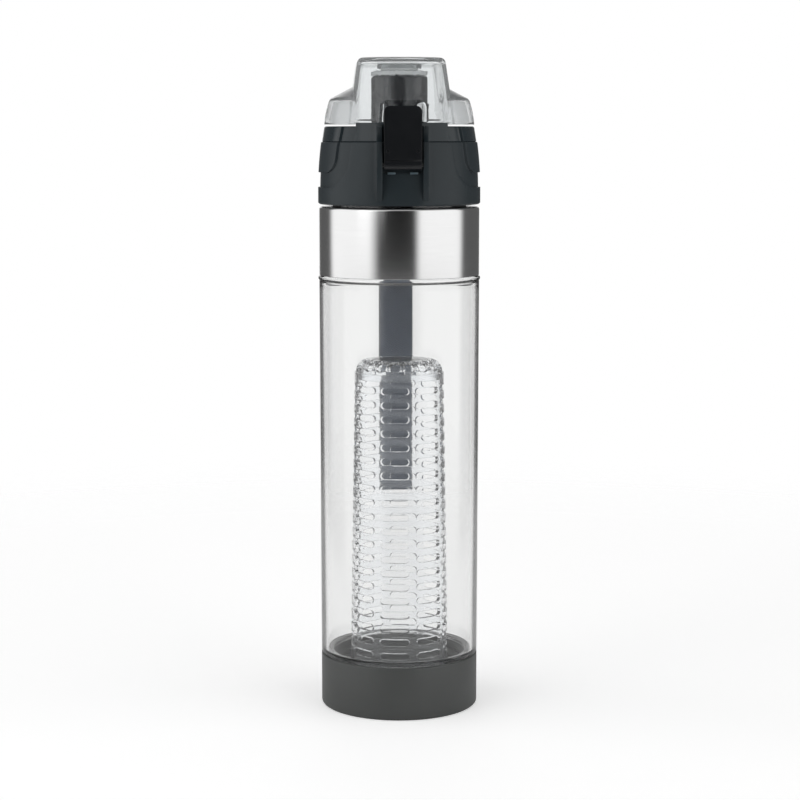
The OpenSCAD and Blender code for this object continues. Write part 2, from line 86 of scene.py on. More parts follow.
class BottleSizes(bpy.types.PropertyGroup):
    """Sizes that the frame leaves free"""
    round_steps: IntProperty(
        name="Round steps", description="Faces round the bottle", default=192, min=48, max=256)
    thread_pitch: FloatProperty(
        name="Thread pitch", description="Rise of the screw threads in one turn",
        default=4.2 * MM, min=2 * MM, max=8 * MM, unit="LENGTH", precision=4)
    thread_depth: FloatProperty(
        name="Thread depth", description="Height of the screw threads' crests",
        default=0.62 * MM, min=0.2 * MM, max=0.9 * MM, unit="LENGTH", precision=5)
    slot_columns: IntProperty(
        name="Slot columns", description="Columns of slots round the basket", default=8, min=6, max=10)
    slot_rows: IntProperty(
        name="Slot rows", description="Rows of slots up the basket", default=20, min=8, max=22)
    slot_pitch: FloatProperty(
        name="Slot pitch", description="Height from one row of slots to the next",
        default=5.95 * MM, min=5 * MM, max=6 * MM, unit="LENGTH", precision=5)
    slot_height: FloatProperty(
        name="Slot height", description="Height of one slot",
        default=2.8 * MM, min=2 * MM, max=3.2 * MM, unit="LENGTH", precision=5)
    dome_windows: IntProperty(
        name="Dome windows", description="Windows round the infuser's top", default=18, min=10, max=18)
    basket_turn: FloatProperty(
        name="Basket turn", description="Turn of the infuser about its axis",
        default=math.radians(-8), min=-0.4, max=0.4, subtype="ANGLE")
    webbing_width: FloatProperty(
        name="Webbing width", description="Width of the carry loop's webbing",
        default=16 * MM, min=10 * MM, max=18 * MM, unit="LENGTH", precision=4)
    webbing_thickness: FloatProperty(
        name="Webbing thickness", description="Thickness of the carry loop's webbing",
        default=1.4 * MM, min=1 * MM, max=1.8 * MM, unit="LENGTH", precision=5)
    selvedge_pitch: FloatProperty(
        name="Selvedge pitch", description="Length of one tooth of the webbing's edge",
        default=1.0 * MM, min=0.6 * MM, max=2 * MM, unit="LENGTH", precision=5)


class BottleColours(bpy.types.PropertyGroup):
    """Colours and tints of the finishes"""
    lid: FloatVectorProperty(
        name="Lid", description="Satin plastic of the lid",
        default=srgb(40, 48, 52), size=3, subtype="COLOR")
    base: FloatVectorProperty(
        name="Base", description="Satin plastic of the base",
        default=srgb(78, 80, 79), size=3, subtype="COLOR")
    spout: FloatVectorProperty(
        name="Spout", description="Glossy plastic of the spout",
        default=srgb(26, 28, 31), size=3, subtype="COLOR")
    latch: FloatVectorProperty(
        name="Latch", description="Satin plastic of the latch",
        default=srgb(21, 23, 26), size=3, subtype="COLOR")
    clear: FloatVectorProperty(
        name="Clear wall", description="Tint of the bottle's wall",
        default=(0.92, 0.922, 0.92), size=3, subtype="COLOR")
    infuser: FloatVectorProperty(
        name="Infuser", description="Tint of the infuser",
        default=(0.975, 0.983, 0.992), size=3, subtype="COLOR")
    cover: FloatVectorProperty(
        name="Cover", description="Tint of the flip cover",
        default=(0.85, 0.865, 0.87), size=3, subtype="COLOR")
    steel: FloatVectorProperty(
        name="Steel", description="Brushed steel of the collar",
        default=(0.72, 0.72, 0.72), size=3, subtype="COLOR")
    silicone: FloatVectorProperty(
        name="Silicone", description="Gaskets and rings",
        default=srgb(150, 155, 157), size=3, subtype="COLOR")
    webbing: FloatVectorProperty(
        name="Webbing", description="Yarn of the carry loop",
        default=srgb(112, 121, 136), size=3, subtype="COLOR")


class StudioSettings(bpy.types.PropertyGroup):
    """The camera's place and lens, and the floor"""
    camera_distance: FloatProperty(
        name="Camera distance", description="From the bottle's axis to the camera",
        default=0.865, min=0.4, max=3, unit="LENGTH")
    camera_height: FloatProperty(
        name="Camera height", description="Above the floor", default=0.243, min=0, max=1, unit="LENGTH")
    camera_turn: FloatProperty(
        name="Camera turn", description="Turn of the camera about the bottle, from the front",
        default=math.radians(-2.5), min=-math.pi, max=math.pi, subtype="ANGLE")
    camera_pitch: FloatProperty(
        name="Camera pitch", description="How far the camera looks down",
        default=math.radians(7.35), min=-0.5, max=1.5, subtype="ANGLE")
    lens: FloatProperty(
        name="Lens", description="Focal length on a 36 mm sensor", default=91.9, min=20, max=300,
        unit="CAMERA")
    shift: FloatProperty(
        name="Shift", description="How far the bottle stands left of the picture's middle",
        default=0.001, min=-0.1, max=0.1, precision=4)
    floor_radius: FloatProperty(
        name="Floor radius", description="Where the floor has faded out", default=0.7, min=0.3, max=3,
        unit="LENGTH")


# Finishes


def blank(name):
    """A new material: its node tree and its Principled shader."""
    material = bpy.data.materials.new(name)
    material.use_nodes = True
    tree = material.node_tree
    return material, tree, tree.nodes["Principled BSDF"]


def fill(tree, made, values):
    """Sets a node's input sockets, or links them where the value is a socket."""
    for name, value in values.items():
        if isinstance(value, bpy.types.NodeSocket):
            tree.links.new(value, made.inputs[name])
        else:
            made.inputs[name].default_value = value


def node(tree, kind, values=None, **settings):
    """A new node with its settings and its input sockets."""
    made = tree.nodes.new(kind)
    for name, value in settings.items():
        setattr(made, name, value)
    fill(tree, made, values or {})
    return made


def calc(tree, operation, *values):
    """The result of one Math node."""
    return node(tree, "ShaderNodeMath", dict(enumerate(values)), operation=operation).outputs[0]


def ramp(tree, factor, stops):
    """A Color Ramp with (position, colour) stops."""
    made = node(tree, "ShaderNodeValToRGB", {"Fac": factor})
    elements = made.color_ramp.elements
    while len(elements) > 1:
        elements.remove(elements[-1])
    elements[0].position = stops[0][0]
    elements[0].color = (*stops[0][1], 1)
    for position, colour in stops[1:]:
        elements.new(position).color = (*colour, 1)
    return made.outputs["Color"]


def clouded(tree, factor, low, high):
    """A colour that wanders between two shades with a grain."""
    return ramp(tree, factor, [(0.3, low), (0.7, high)])


def mixed_colour(tree, factor, one, other):
    """One colour, which gives way to another as the factor rises from 0 to 1."""
    values = {"Factor": factor, "A": one, "B": other}
    return node(tree, "ShaderNodeMix", values, data_type="RGBA").outputs["Result"]


def mixed_surface(tree, factor, one, other):
    """The material's surface: one shader, which gives way to another as the factor rises from 0 to 1."""
    made = node(tree, "ShaderNodeMixShader", {0: factor, 1: one, 2: other})
    tree.links.new(made.outputs["Shader"], tree.nodes["Material Output"].inputs["Surface"])


def grey(value):
    """A neutral colour."""
    return (value, value, value)


def shade(colour, share):
    """A colour, darker or lighter by a share."""
    return tuple(channel * share for channel in colour)


def grain(tree, scale, detail=3.0, stretch=(1, 1, 1)):
    """Noise on the piece's own coordinates; the scale is in patches a metre."""
    place = node(tree, "ShaderNodeTexCoord").outputs["Object"]
    mapped = node(tree, "ShaderNodeMapping", {"Vector": place, "Scale": stretch}).outputs["Vector"]
    values = {"Vector": mapped, "Scale": scale, "Detail": detail}
    return node(tree, "ShaderNodeTexNoise", values).outputs["Fac"]


def bump(tree, height, strength, distance):
    """A bumpy normal; the distance is the bumps' height in metres."""
    values = {"Height": height, "Strength": strength, "Distance": distance}
    return node(tree, "ShaderNodeBump", values).outputs["Normal"]


def between(tree, factor, low, high):
    """A factor from 0 to 1, brought between two values."""
    values = {"Value": factor, "To Min": low, "To Max": high}
    return node(tree, "ShaderNodeMapRange", values).outputs["Result"]


def moulded(name, colour, rough, grain_depth=0.02 * MM, specular=0.5):
    """Opaque moulded plastic: fine spark-eroded grain, a little cloudiness and uneven gloss."""
    material, tree, shader = blank(name)
    fill(tree, shader, {
        "Base Color": clouded(tree, grain(tree, 45), shade(colour, 0.93), shade(colour, 1.06)),
        "Roughness": between(tree, grain(tree, 160), rough - 0.05, rough + 0.06),
        "Normal": bump(tree, grain(tree, 2600, 2.0), 0.35, grain_depth),
        "Specular IOR Level": specular})
    return material


def clear_moulding(name, tint, edges=(), ior=1.49, clarity=1.0):
    """See-through plastic that lamps shine through. An edge is (facing, share of the tint that is left): a
    painted shade that darkens the tint towards grazing angles, standing in for the dark that thick clear
    walls refract at their edges.
    """
    material, tree, shader = blank(name)
    colour = (*tint, 1)
    if edges:
        # Painted shade: the tint darkens as the surface turns away from the eye, drawing dark edge lines
        # into the colour.
        facing = node(tree, "ShaderNodeLayerWeight", {"Blend": 0.5}).outputs["Facing"]
        colour = ramp(tree, facing, [(at, shade(tint, share)) for at, share in edges])
    fill(tree, shader, {
        "Base Color": colour, "Roughness": 0.0, "IOR": ior, "Transmission Weight": clarity})
    shadow = node(tree, "ShaderNodeLightPath").outputs["Is Shadow Ray"]
    open_way = node(tree, "ShaderNodeBsdfTransparent", {"Color": (*shade(tint, 0.98), 1)}).outputs["BSDF"]
    mixed_surface(tree, shadow, shader.outputs["BSDF"], open_way)
    return material


def brushed_steel(name, colour):
    """Steel brushed round the bottle: fine lines that spread its highlights up and down."""
    material, tree, shader = blank(name)
    lines = grain(tree, 60, 4.0, stretch=(1, 1, 160))
    fill(tree, shader, {
        "Base Color": clouded(tree, lines, shade(colour, 0.93), colour),
        "Metallic": 1.0, "Anisotropic": 0.7, "Anisotropic Rotation": 0.25,
        "Roughness": between(tree, lines, 0.17, 0.27),
        "Normal": bump(tree, lines, 0.3, 0.01 * MM),
        "Tangent": node(tree, "ShaderNodeTangent", direction_type="RADIAL", axis="Z").outputs["Tangent"]})
    return material


def pin_steel(name, tone):
    """Drawn wire with faint rings from the die."""
    material, tree, shader = blank(name)
    lines = grain(tree, 90, 2.0, stretch=(40, 1, 1))
    fill(tree, shader, {
        "Base Color": clouded(tree, lines, grey(0.9 * tone), grey(1.07 * tone)),
        "Metallic": 1.0,
        "Roughness": between(tree, lines, 0.22, 0.36)})
    return material


def soft_silicone(name, colour, see_through=0.0):
    """Silicone rubber: soft gloss with a dusty bloom."""
    material, tree, shader = blank(name)
    fill(tree, shader, {
        "Base Color": clouded(tree, grain(tree, 120), shade(colour, 0.9), colour),
        "Roughness": between(tree, grain(tree, 400), 0.38, 0.55),
        "Normal": bump(tree, grain(tree, 1800), 0.3, 0.02 * MM),
        "IOR": 1.41, "Transmission Weight": see_through})
    return material


def webbing_weave(name, colour, width):
    """Flat woven webbing: yarns that cross over and under, painted darker where they dip and lighter on
    their crests, and pale thread along both selvedges.
    """
    material, tree, shader = blank(name)
    yarn_pitch, row_pitch, selvedge, thread = 1.0, 1.6, 0.75, 0.42
    place = node(tree, "ShaderNodeUVMap", uv_map="weave").outputs["UV"]
    split = node(tree, "ShaderNodeSeparateXYZ", {"Vector": place})
    across = split.outputs["Y"]

    def wave(source, pitch):
        return calc(tree, "SINE", calc(tree, "MULTIPLY", source, 2 * math.pi / pitch))

    along = wave(split.outputs["X"], yarn_pitch)
    crossing = calc(tree, "MULTIPLY", along, wave(across, row_pitch))
    height = node(tree, "ShaderNodeMapRange", {"Value": crossing, "From Min": -1.0}).outputs["Result"]
    fibre = node(tree, "ShaderNodeTexNoise", {"Vector": place, "Scale": 6.0, "Detail": 4.0}).outputs["Fac"]
    relief = calc(tree, "MULTIPLY_ADD", height, fibre, fibre)
    # The colour follows the weave's relief: painted shade where the yarn dips under, painted light on its
    # crests, and the fibre noise's own random tone.
    yarn_tone_and_weave_shade = ramp(tree, relief, [(0.25, shade(colour, 0.6)), (0.9, shade(colour, 1.35))])
    aside = calc(tree, "ABSOLUTE", calc(tree, "SUBTRACT", across, width / 2))
    edge = calc(tree, "GREATER_THAN", aside, width / 2 - selvedge)
    stitch = calc(tree, "MULTIPLY", edge, calc(tree, "GREATER_THAN", along, 0.1))
    fill(tree, shader, {
        "Base Color": mixed_colour(tree, stitch, yarn_tone_and_weave_shade, (*grey(thread), 1)),
        "Normal": bump(tree, relief, 0.9, 0.25 * MM),
        "Roughness": 0.8, "Sheen Weight": 0.25})
    return material


# Shapes


def verts_in(geom):
    """The vertices in what a bmesh operator gives back."""
    return [item for item in geom if isinstance(item, bmesh.types.BMVert)]


def edges_in(geom):
    """The edges in what a bmesh operator gives back."""
    return [item for item in geom if isinstance(item, bmesh.types.BMEdge)]


def rounded(bm, edges, radius, segments):
    """Rounds edges, and stops where two roundings meet."""
    bmesh.ops.bevel(
        bm, geom=edges, offset=radius, offset_type="OFFSET", segments=segments, profile=0.5,
        affect="EDGES", clamp_overlap=True, material=-1)


def arc(x, y, radius, start, end, steps=8):
    """Points on an arc of an outline; its ends are in degrees."""
    angles = [math.radians(start + (end - start) * i / steps) for i in range(steps + 1)]
    return [(x + radius * math.cos(a), y + radius * math.sin(a)) for a in angles]


def filleted(outline):
    """The closed outline's points, with an arc at each corner that names a fillet."""
    steps = 4
    points = []
    for index, (x, y, *fillet) in enumerate(outline):
        corner = Vector((x, y))
        if not fillet:
            points.append(corner)
            continue
        before = (Vector(outline[index - 1][:2]) - corner).normalized()
        after = (Vector(outline[(index + 1) % len(outline)][:2]) - corner).normalized()
        half = before.angle(after) / 2
        centre = corner + (before + after).normalized() * fillet[0] / math.sin(half)
        first = corner + before * fillet[0] / math.tan(half) - centre
        last = corner + after * fillet[0] / math.tan(half) - centre
        sweep = math.atan2(first.cross(last), first.dot(last))
        points += [centre + Matrix.Rotation(sweep * i / steps, 2) @ first for i in range(steps + 1)]
    return points


def drawn(corners):
    """A mesh that holds one closed outline."""
    bm = bmesh.new()
    points = [bm.verts.new(corner) for corner in corners]
    for one, other in zip(points, points[1:] + points[:1]):
        bm.edges.new((one, other))
    return bm


def spun(outline, steps, rows=()):
    """An outline turned round the bottle's axis.

    A row is (radius, low, high, cuts): the edges there are cut, so that a thread can be raised on them.
    """
    slack = 0.02
    bm = drawn([(radius, 0, height) for radius, height in filleted(outline)])
    for radius, low, high, cuts in rows:
        edges = [
            edge for edge in bm.edges
            if all(abs(v.co.x - radius) < slack for v in edge.verts)
            and all(low - slack < v.co.z < high + slack for v in edge.verts)]
        bmesh.ops.subdivide_edges(bm, edges=edges, cuts=cuts)
    bmesh.ops.spin(
        bm, geom=bm.verts[:] + bm.edges[:], cent=(0, 0, 0), axis=(0, 0, 1), angle=2 * math.pi,
        steps=steps, use_merge=True)
    return bm


def raise_thread(bm, radius, low, high, depth, pitch, start=0.0):
    """A screw thread: the wall's own points move out, or in where the depth is below 0."""
    crest, slack = 0.3, 0.05
    for vert in bm.verts:
        if abs(vert.co.xy.length - radius) > slack or not low <= vert.co.z <= high:
            continue
        turn = (vert.co.z - low) / pitch - math.atan2(vert.co.y, vert.co.x) / (2 * math.pi) + start
        share = abs((turn % 1) - 0.5) / crest
        if share >= 1:
            continue
        fade = min(1, (vert.co.z - low) / pitch, (high - vert.co.z) / pitch)
        grow = 1 + depth * fade * min(1, 2 * (1 - share)) / radius
        vert.co.x *= grow
        vert.co.y *= grow


def pierced_sheet(columns, rows, cell, slot, straight_cuts):
    """A flat sheet of cells, each with a round-ended slot in its middle. Cell and slot are (width, height).

    The slot may lie along or across its cell. The sheet starts at (0, 0) and is one face thick.
    """
    round_steps = 5
    upright = slot[1] > slot[0]
    long_side, short_side = (slot[1], slot[0]) if upright else slot
    long_cell, short_cell = (cell[1], cell[0]) if upright else cell
    straight = (long_side - short_side) / 2
    bm = bmesh.new()
    bmesh.ops.create_grid(bm, x_segments=1, y_segments=1, size=1)
    for vert in bm.verts:
        vert.co.x = math.copysign(long_side / 2, vert.co.x)
        vert.co.y = math.copysign(short_side / 2, vert.co.y)
    bmesh.ops.bevel(
        bm, geom=bm.verts[:], offset=short_side / 2, offset_type="OFFSET", segments=round_steps,
        profile=0.5, affect="VERTICES", material=-1)
    bmesh.ops.remove_doubles(bm, verts=bm.verts, dist=WELD)
    bmesh.ops.delete(bm, geom=bm.faces[:], context="FACES_ONLY")
    sides = [edge for edge in bm.edges if edge.calc_length() > straight]
    bmesh.ops.subdivide_edges(bm, edges=sides, cuts=straight_cuts)
    ring = bmesh.ops.extrude_edge_only(bm, edges=bm.edges[:])
    for vert in verts_in(ring["geom"]):
        past = abs(vert.co.x) - straight
        if past < NEAR:
            vert.co.x *= long_cell / 2 / straight
            vert.co.y = math.copysign(short_cell / 2, vert.co.y)
        else:
            turned = math.atan2(vert.co.y, past) / (math.pi / 2)
            vert.co.x = math.copysign(long_cell / 2, vert.co.x)
            vert.co.y = turned * short_cell / 2
    if upright:
        bmesh.ops.rotate(bm, verts=bm.verts, cent=(0, 0, 0), matrix=Matrix.Rotation(math.pi / 2, 3, "Z"))
    bmesh.ops.translate(bm, verts=bm.verts, vec=(cell[0] / 2, cell[1] / 2, 0))
    first = bm.verts[:] + bm.edges[:] + bm.faces[:]
    for row in range(rows):
        for column in range(columns):
            if row or column:
                copy = verts_in(bmesh.ops.duplicate(bm, geom=first)["geom"])
                bmesh.ops.translate(bm, verts=copy, vec=(column * cell[0], row * cell[1], 0))
    bmesh.ops.remove_doubles(bm, verts=bm.verts, dist=NEAR)
    return bm


def grown(bm, y, new_y):
    """The sheet's edge at one height, drawn out to another height."""
    edges = [edge for edge in bm.edges if all(abs(v.co.y - y) < NEAR for v in edge.verts)]
    for vert in verts_in(bmesh.ops.extrude_edge_only(bm, edges=edges)["geom"]):
        vert.co.y = new_y


def thickened(bm, wall):
    """The sheet as a closed wall, with a small flat along its rims."""
    flat, sharp = 0.13, math.radians(60)
    bmesh.ops.remove_doubles(bm, verts=bm.verts, dist=NEAR)
    bmesh.ops.recalc_face_normals(bm, faces=bm.faces)
    bmesh.ops.solidify(bm, geom=bm.faces[:], thickness=wall)
    rounded(bm, [edge for edge in bm.edges if edge.calc_face_angle(0) > sharp], flat, 1)


def finished(name, bm, body, nodes, finish, sharp=38, turn_out=True):
    """Turns the mesh into a smooth piece in metres, which rides on a body and stands for its nodes."""
    bmesh.ops.remove_doubles(bm, verts=bm.verts, dist=WELD)
    if turn_out:
        bmesh.ops.recalc_face_normals(bm, faces=bm.faces)
    bmesh.ops.scale(bm, vec=(MM, MM, MM), verts=bm.verts)
    for face in bm.faces:
        face.smooth = True
    for edge in bm.edges:
        edge.smooth = edge.calc_face_angle(0) < math.radians(sharp)
    mesh = bpy.data.meshes.new(name)
    bm.to_mesh(mesh)
    bm.free()
    piece = bpy.data.objects.new(name, mesh)
    bpy.context.scene.collection.objects.link(piece)
    mesh.materials.append(finish)
    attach(piece, body)
    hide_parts(*nodes)
    return piece


def dressed(node_name, finish):
    """A frame node keeps its own shape and takes a finish."""
    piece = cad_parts[node_name]
    if not piece.material_slots:
        piece.data.materials.append(finish)
    for material_slot in piece.material_slots:
        material_slot.material = finish


def sink_dimple(bm, centre, radius, depth):
    """A small eight-sided dimple in the flat face that looks to the front at a point."""
    sides, floor_share = 8, 0.6

    def front():
        return [
            face for face in bm.faces
            if face.normal.y < -0.99 and abs(face.calc_center_median().y - centre.y) < 0.01]

    for side in range(sides):
        turn = 2 * math.pi * side / sides
        way = Vector((math.cos(turn), 0, math.sin(turn)))
        geom = list({item for face in front() for item in (face, *face.edges, *face.verts)})
        bmesh.ops.bisect_plane(
            bm, geom=geom, dist=1e-5, plane_co=centre + way * radius, plane_no=way)
    inner = [face for face in front() if (face.calc_center_median() - centre).length < radius]
    bmesh.ops.inset_region(
        bm, faces=inner, thickness=(1 - floor_share) * radius, depth=-depth, use_even_offset=True)


def add_bar(bm, centre, size, edge):
    """A small bar with round edges."""
    laid = Matrix.Translation(centre) @ Matrix.Diagonal((*size, 1))
    made = bmesh.ops.create_cube(bm, size=1, matrix=laid)
    rims = {side for vert in made["verts"] for side in vert.link_edges}
    rounded(bm, list(rims), edge, 2)


def softened(node_name, name, body, finish, edge=0.2, segments=2, trim=None):
    """A piece with a frame node's own shape whose sharp edges are rounded, in place of the node."""
    bm = bmesh.new()
    bm.from_mesh(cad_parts[node_name].data)
    bmesh.ops.scale(bm, vec=(1 / MM, 1 / MM, 1 / MM), verts=bm.verts)
    bmesh.ops.remove_doubles(bm, verts=bm.verts, dist=NEAR)
    bmesh.ops.dissolve_limit(
        bm, angle_limit=math.radians(0.5), use_dissolve_boundaries=False, verts=bm.verts[:],
        edges=bm.edges[:], delimit={"NORMAL"})
    rims = [side for side in bm.edges if side.calc_face_angle(0) > math.radians(35)]
    rounded(bm, rims, edge, segments)
    if trim:
        trim(bm)
    return finished(name, bm, body, [node_name], finish, sharp=32, turn_out=False)


# The pieces, from the floor up


class INFUSER_OT_base_cup(bpy.types.Operator):
    """Builds the screw base with its thread and the ring that holds the infuser"""
    bl_idname = "infuser.base_cup"
    bl_label = "Base Cup"

    def execute(self, context):
        sizes, colours = context.scene.bottle_sizes, context.scene.bottle_colours
        high = box_mm("base_cap")[1]
        radius, height = high.x, high.z
        wall_in, draft, floor = radius - 2.2, 0.1, 3.0
        disc, rim, hollow, slope = 15.5, 28.5, 0.8, 1.0
        ring_out, ring_in, ring_top = 23.15, 21.55, 10.0
        outline = [
            (0, 0), (disc, 0, 0.4), (disc + slope, hollow, 0.4), (rim - slope, hollow, 0.4), (rim, 0, 0.3),
            (radius, 0, 1.3), (radius, height, 0.5), (wall_in + draft, height, 0.45),
            (wall_in, floor, 1.2), (ring_out, floor, 0.6), (ring_out, ring_top, 0.4),
            (ring_in, ring_top, 0.4), (ring_in, floor, 0.4), (0, floor)]
        bm = spun(outline, sizes.round_steps)
        # Faces inside the cup take their own finish: glossier, which is real, and lighter than the base's
        # colour, which is painted light brightening the inside seen through the wall.
        for face in bm.faces:
            middle = face.calc_center_median()
            inside = middle.xy.length < wall_in + 0.3 and middle.z > floor - 0.1
            face.material_index = 1 if inside else 0
        cup = finished("base_cup", bm, "base", ["base_cap"],
                       moulded("base satin", colours.base, rough=0.42))
        # Glossier inside, and painted lighter than the base's own colour.
        cup.data.materials.append(moulded(
            "base inside gloss painted lighter", shade(colours.base, 1.3), rough=0.16, grain_depth=0.004 * MM, specular=0.6))
        dressed("base_gasket", soft_silicone("base gasket rubber", colours.silicone))
        return {"FINISHED"}


class INFUSER_OT_clear_wall(bpy.types.Operator):
    """Builds the bottle's clear wall with its two threaded necks"""
    bl_idname = "infuser.clear_wall"
    bl_label = "Clear Wall"

    def execute(self, context):
        sizes, colours = context.scene.bottle_sizes, context.scene.bottle_colours
        low, high = box_mm("bottle_body")
        foot, mouth, lip, foot_lip = low.z, high.z, 0.7, 0.5
        neck, bore, foot_neck, foot_bore = 28.2, 25.8, 30.3, 27.9
        wall_foot, wall_top, inner_foot, inner_top = 33.5, 33.9, 31.1, 31.5
        step, step_round, inner_step, inner_blend = 22.8, 0.3, 24.4, 8
        bead, bead_z, shoulder_round = 1.1, 183.9, 5
        recess, recess_low, recess_high, neck_low = 33.2, 185.1, 208.1, 213.1
        neck_thread, foot_thread = (217.5, 232.5), (7.0, 20.5)
        outline = [
            (foot_bore, foot, foot_lip), (foot_neck, foot, foot_lip), (foot_neck, step, step_round),
            (wall_foot, step, 0.6), (wall_top, bead_z - bead, 0.2), *arc(recess, bead_z, bead, -40, 40, 6),
            (recess, recess_low, 0.1), (recess, recess_high),
            *arc(neck, recess_high, shoulder_round, 8, 82), (neck, neck_low),
            (neck, mouth, lip), (bore, mouth, lip), (bore, 212.6, 1.5),
            *arc(25.6, 207.7, shoulder_round, 78, 0), (30.8, 185, inner_blend),
            (inner_top, 179.8, inner_blend), (inner_foot, inner_step, 0.8),
            (foot_bore + 0.6, inner_step, 0.5), (foot_bore, inner_step - 1, 0.5)]
        rows = [(neck, neck_low, mouth - lip, 60), (foot_neck, foot + foot_lip, step - step_round, 46)]
        bm = spun(outline, sizes.round_steps, rows)
        pitch, depth = mm(sizes.thread_pitch), mm(sizes.thread_depth)
        raise_thread(bm, neck, *neck_thread, depth, pitch)
        raise_thread(bm, foot_neck, *foot_thread, depth, pitch)
        bmesh.ops.recalc_face_normals(bm, faces=bm.faces)
        for face in bm.faces:
            middle = face.calc_center_median()
            outward = face.normal.xy.dot(middle.xy.normalized())
            face.material_index = 0 if outward > 0.9 else 1
        # Painted shade: the outer faces darken almost to black towards grazing angles, drawing the wall's
        # dark outline into its tint; the inner faces stay clear.
        outside = clear_moulding(
            "bottle clear", colours.clear, [(0.61, 1.0), (0.66, 0.7), (0.72, 0.08), (0.82, 0.03)])
        wall = finished("clear_wall", bm, "bottle", ["bottle_body"], outside)
        wall.data.materials.append(clear_moulding("bottle clear inside", colours.clear))
        return {"FINISHED"}


class INFUSER_OT_steel_collar(bpy.types.Operator):
    """Builds the brushed steel collar with its rolled top edge"""
    bl_idname = "infuser.steel_collar"
    bl_label = "Steel Collar"

    def execute(self, context):
        sizes, colours = context.scene.bottle_sizes, context.scene.bottle_colours
        low, high = box_mm("steel_collar")
        radius, top, sheet, roll, hole = high.x, high.z, 0.5, 1.2, 28.8
        outline = [
            (radius - sheet, low.z, 0.15), (radius, low.z, 0.2),
            *arc(radius - roll, top - roll, roll, 0, 90), (hole, top, 0.15), (hole, top - sheet, 0.15),
            *arc(radius - roll, top - roll, roll - sheet, 90, 0)]
        bm = spun(outline, sizes.round_steps)
        finished("brushed_sleeve", bm, "bottle", ["steel_collar"],
                 brushed_steel("collar steel", colours.steel))
        return {"FINISHED"}


class INFUSER_OT_basket(bpy.types.Operator):
    """Builds the infuser: its slotted tube and the domed top with windows round its shoulder"""
    bl_idname = "infuser.basket"
    bl_label = "Infuser"

    def execute(self, context):
        sizes, colours = context.scene.bottle_sizes, context.scene.bottle_colours
        # Both finishes carry painted shade: the tint darkens towards grazing angles and draws the slots' and
        # windows' outlines.
        tube_finish = clear_moulding(
            "infuser clear", colours.infuser, [(0.55, 1.0), (0.92, 0.72)], ior=1.18, clarity=0.972)
        dome_finish = clear_moulding(
            "infuser dome clear", colours.infuser, [(0.5, 1.0), (0.9, 0.6)], ior=1.4, clarity=0.96)
        self.tube(sizes, tube_finish)
        self.dome(sizes, dome_finish)
        return {"FINISHED"}

    def tube(self, sizes, finish):
        low, high = box_mm("infuser_basket")
        foot_r, top_r, wall = high.x, 18.9, 1.5
        foot_rib, plain_top = 3.4, 5.4
        mid_r = (foot_r + top_r) / 2
        cell = (2 * math.pi * mid_r / sizes.slot_columns, mm(sizes.slot_pitch))
        slot = (cell[0] - foot_rib * mid_r / foot_r, mm(sizes.slot_height))
        bm = pierced_sheet(sizes.slot_columns, sizes.slot_rows, cell, slot, 9)
        top_row_z = high.z - plain_top - slot[1] / 2
        sheet_low = top_row_z - (sizes.slot_rows - 0.5) * cell[1]
        grown(bm, 0, low.z - sheet_low)
        grown(bm, sizes.slot_rows * cell[1], high.z - sheet_low)
        start = sizes.basket_turn - math.pi / 2 - math.pi / sizes.slot_columns
        for vert in bm.verts:
            height = vert.co.y + sheet_low
            radius = foot_r + (top_r - foot_r) * (height - low.z) / (high.z - low.z)
            angle = start + vert.co.x / mid_r
            vert.co = (radius * math.cos(angle), radius * math.sin(angle), height)
        thickened(bm, wall)
        finished("slotted_tube", bm, "infuser", ["infuser_basket"], finish, sharp=30)

    def dome(self, sizes, finish):
        low, high = box_mm("infuser_top")
        radius, turn_r, wall, window = high.x, 5.1, 1.3, (4.3, 6.7)
        seam_z, plug_r = low.z + 3, radius - 1
        straight = high.z - turn_r - seam_z
        shoulder = turn_r * math.pi / 2
        mid_r = radius - turn_r * (1 - math.cos(math.pi / 4))
        cell = (2 * math.pi * mid_r / sizes.dome_windows, shoulder + 2 * straight)
        bm = pierced_sheet(sizes.dome_windows, 1, cell, window, 3)
        for vert in bm.verts:
            along = vert.co.y - straight
            turned = min(max(along / turn_r, 0), math.pi / 2)
            past = max(0, along - shoulder)
            out = radius - turn_r * (1 - math.cos(turned)) - past
            height = seam_z + min(straight, max(vert.co.y, 0)) + turn_r * math.sin(turned)
            angle = sizes.basket_turn + vert.co.x / mid_r
            vert.co = (out * math.cos(angle), out * math.sin(angle), height)
        bmesh.ops.remove_doubles(bm, verts=bm.verts, dist=NEAR)

        def open_rim(level):
            return [
                edge for edge in bm.edges
                if edge.is_boundary and all(abs(v.co.z - level) < NEAR for v in edge.verts)]

        rim = open_rim(seam_z)
        for level in (seam_z, low.z):
            made = bmesh.ops.extrude_edge_only(bm, edges=rim)["geom"]
            rim = edges_in(made)
            for vert in verts_in(made):
                turn = math.atan2(vert.co.y, vert.co.x)
                vert.co = (plug_r * math.cos(turn), plug_r * math.sin(turn), level)
        bmesh.ops.contextual_create(bm, geom=open_rim(high.z))
        thickened(bm, wall)
        finished("windowed_dome", bm, "infuser", ["infuser_top"], finish, sharp=30)


